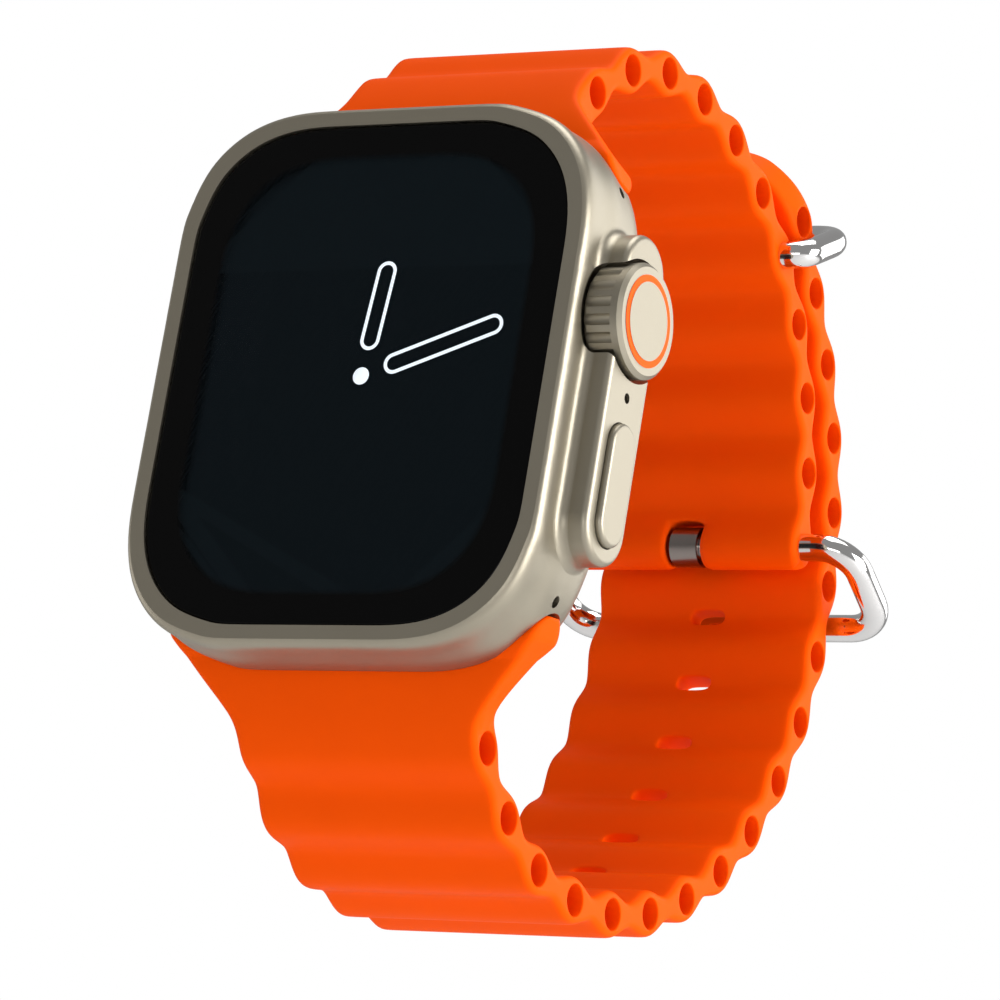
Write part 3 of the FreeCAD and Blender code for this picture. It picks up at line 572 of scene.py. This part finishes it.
ORANGE = (1.0, 0.088, 0.0)
titanium = paint("titanium", (0.36, 0.325, 0.255), 0.42, metallic=1.0, grain=0.10, bump=0.004,
                 mottle=0.03)
chrome = paint("polished_wire", (0.70, 0.69, 0.68), 0.09, metallic=1.0, grain=0.6, bump=0.002,
               mottle=0.02, rough_spread=0.03)
elastomer = paint("orange_elastomer", ORANGE, 0.5, grain=0.12, bump=0.006, mottle=0.04,
                  Specular_IOR_Level=0.03)
brushed = paint("brushed_barrel", (0.26, 0.23, 0.21), 0.24, metallic=1.0, grain=0.5, bump=0.006,
                mottle=0.12, stretch=(0.15, 1, 1))
accent = paint("orange_accent", (0.9, 0.10, 0.0), 0.4, grain=0.2, bump=0.002, mottle=0.03,
               Specular_IOR_Level=0.05)
display = glowing("display_panel", (0.0016, 0.0026, 0.0033), 3.5,
                  Specular_IOR_Level=0.0)
light = glowing("display_light", (0.86, 0.93, 1.0), 1.1)
glass = cover_glass()
ceramic = paint("dark_ceramic", (0.012, 0.012, 0.014), 0.12, grain=0.8, bump=0.001, mottle=0.2)
crystal = paint("dark_crystal", (0.006, 0.007, 0.010), 0.04, grain=3.0, bump=0.0, mottle=0.3)
rubber = paint("seal_rubber", (0.012, 0.012, 0.012), 0.7, grain=0.2, bump=0.01)
board = paint("circuit_board", (0.01, 0.07, 0.03), 0.45, grain=0.5, bump=0.01, mottle=0.25)
epoxy = paint("chip_epoxy", (0.015, 0.015, 0.016), 0.6, grain=0.15, bump=0.01)
foil = paint("battery_foil", (0.5, 0.5, 0.52), 0.35, metallic=1.0, grain=0.8, bump=0.02)
dark_metal = paint("dark_metal", (0.2, 0.2, 0.21), 0.35, metallic=1.0, grain=0.2, bump=0.005,
                   stretch=(1, 8, 8))
copper = paint("copper_winding", (0.7, 0.3, 0.13), 0.35, metallic=1.0, grain=0.15, bump=0.03)

SLOT_MATERIALS = {
    "titanium": titanium, "polished_steel": chrome, "orange_elastomer": elastomer,
    "orange_accent": accent, "cover_glass": glass, "back_ceramic": ceramic,
    "seal_rubber": rubber, "circuit_board": board, "chip_black": epoxy,
    "battery_foil": foil, "dark_metal": dark_metal, "copper": copper,
}
for part in frame["record"]["subparts"]:
    skin = NODES[part["node"]].data
    skin.materials.clear()
    skin.materials.append(SLOT_MATERIALS[part["material_slot"]])
NODES["oled_panel"].data.materials[0] = display
NODES["back_crystal"].data.materials[0] = crystal
NODES["buckle_tongue"].data.materials[0] = brushed


def dress(piece, material, body, slot_name, *nodes):
    """Material and body of a piece, and the CAD nodes that it stands for; slot_name is not used."""
    piece.data.materials.append(material)
    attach(piece, body)
    if nodes:
        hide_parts(*nodes)
    return piece


# ---- display content -------------------------------------------------------------------------
DIAL_Y = -13.12             # just in front of the panel's face, behind the glass
DIAL_DEPTH = 0.01
HAND_HALF_WIDTH = 0.95
HAND_LINE = 0.32
DOT_RADIUS = 0.78
CAPSULE_STEPS = 16          # steps round one end of a hand
DOT_STEPS = 48
HANDS = (("hour_hand", 4.8, 3.3, 9.5), ("minute_hand", 70.0, 3.2, 12.9))  # angle, near, far


def flat_capsule(name, start, end):
    """Outline of a capsule in the XZ plane, as a thin closed band."""
    shell = Shell()
    along = math.atan2(end[1] - start[1], end[0] - start[0])
    rings = []
    inner = HAND_HALF_WIDTH - HAND_LINE
    for reach, depth in ((HAND_HALF_WIDTH, 0), (HAND_HALF_WIDTH, DIAL_DEPTH),
                         (inner, DIAL_DEPTH), (inner, 0)):
        ring = []
        for centre, turn in ((end, -90), (start, 90)):
            for step in range(CAPSULE_STEPS + 1):
                angle = along + math.radians(turn + 180 * step / CAPSULE_STEPS)
                ring.append((centre[0] + reach * math.cos(angle), DIAL_Y - depth,
                             centre[1] + reach * math.sin(angle)))
        rings.append(ring)
    shell.loops(rings + rings[:1])
    return shell.build(name)


def flat_disc(name):
    """The dot at the dial's centre."""
    shell = Shell()
    rings = []
    for depth in (0, DIAL_DEPTH):
        angles = [2 * math.pi * step / DOT_STEPS for step in range(DOT_STEPS)]
        rings.append([(DOT_RADIUS * math.cos(angle), DIAL_Y - depth,
                       DOT_RADIUS * math.sin(angle)) for angle in angles])
    shell.loops(rings)
    shell.polygon(rings[0])
    shell.polygon(rings[1])
    return shell.build(name)


def on_dial(angle, reach):
    """Point on the dial at a clock angle in degrees and a distance from the centre."""
    return reach * math.sin(math.radians(angle)), reach * math.cos(math.radians(angle))


for name, angle, near, far in HANDS:
    hand = flat_capsule(name, on_dial(angle, near), on_dial(angle, far))
    dress(hand, light, "case", "cover_glass")
dress(flat_disc("dial_centre"), light, "case", "cover_glass")

# ---- bands -------------------------------------------------------------------------------------
dress(make_band("lower"), elastomer, "lower_band", "orange_elastomer", "lower_band")
dress(make_band("upper"), elastomer, "upper_band", "orange_elastomer", "upper_band")

# ---- stage: pale floor, soft light and camera ----------------------------------------------------
def area_light(name, place, width, power):
    lamp = bpy.data.lights.new(name, "AREA")
    lamp.size = width
    lamp.energy = power
    holder = bpy.data.objects.new(name, lamp)
    holder.location = place
    direction = Vector(MIDDLE) - Vector(place)
    holder.rotation_euler = direction.to_track_quat("-Z", "Y").to_euler()
    bpy.context.scene.collection.objects.link(holder)


MIDDLE = (0, 0.02, 0)       # what the lights point at, in metres
LIGHTS = (                  # name, place in metres, width in metres, watts
    ("key_right", (0.95, 0.1, 0.15), 0.6, 9.5),
    ("behind", (0.6, 1.1, 0.45), 1.0, 6.5),
    ("top", (0.05, 0.0, 1.0), 0.7, 6.0),
    ("left", (-0.9, -0.1, -0.1), 0.5, 1.0),
    ("front_low", (0.35, -0.9, -0.35), 0.6, 4.2),
)
AMBIENT = 0.34
FLOOR_Z = -0.24             # metres
FLOOR_REACH = 3
CAMERA_PLACE = (0.23967, -0.38835, -0.14247)    # metres
CAMERA_TURN = (106.927, -8.990, 28.123)        # degrees about X, then Y, then Z
CAMERA_LENS = 198.0
SENSOR_WIDTH = 36.0


def make_world():
    """Soft grey light on the watch, and plain white where the camera sees past it."""
    world = bpy.data.worlds.new("studio")
    bpy.context.scene.world = world
    world.use_nodes = True
    nodes = world.node_tree.nodes
    links = world.node_tree.links
    background = nodes["Background"]
    background.inputs["Color"].default_value = (1, 1, 1, 1)
    background.inputs["Strength"].default_value = AMBIENT
    white = nodes.new("ShaderNodeBackground")
    white.inputs["Color"].default_value = (1, 1, 1, 1)
    white.inputs["Strength"].default_value = 1.0
    seen = nodes.new("ShaderNodeLightPath")
    either = nodes.new("ShaderNodeMixShader")
    links.new(seen.outputs["Is Camera Ray"], either.inputs["Fac"])
    links.new(background.outputs["Background"], either.inputs[1])
    links.new(white.outputs["Background"], either.inputs[2])
    links.new(either.outputs["Shader"], nodes["World Output"].inputs["Surface"])


def make_floor():
    mesh = bpy.data.meshes.new("floor")
    corners = [(x * FLOOR_REACH, y * FLOOR_REACH, FLOOR_Z)
               for x, y in ((-1, -1), (1, -1), (1, 1), (-1, 1))]
    mesh.from_pydata(corners, [], [(0, 1, 2, 3)])
    floor = bpy.data.objects.new("floor", mesh)
    floor.data.materials.append(paint("pale_floor", (0.85, 0.85, 0.85), 0.6, grain=4,
                                      mottle=0.01))
    bpy.context.scene.collection.objects.link(floor)


def make_camera():
    """The watch seen from low on its crown side."""
    data = bpy.data.cameras.new("camera")
    data.lens = CAMERA_LENS
    data.sensor_width = SENSOR_WIDTH
    camera = bpy.data.objects.new("camera", data)
    camera.location = CAMERA_PLACE
    camera.rotation_euler = [math.radians(turn) for turn in CAMERA_TURN]
    bpy.context.scene.collection.objects.link(camera)
    bpy.context.scene.camera = camera


for name, place, width, power in LIGHTS:
    area_light(name, place, width, power)
make_world()
make_floor()
make_camera()
bpy.context.scene.view_settings.view_transform = "Standard"
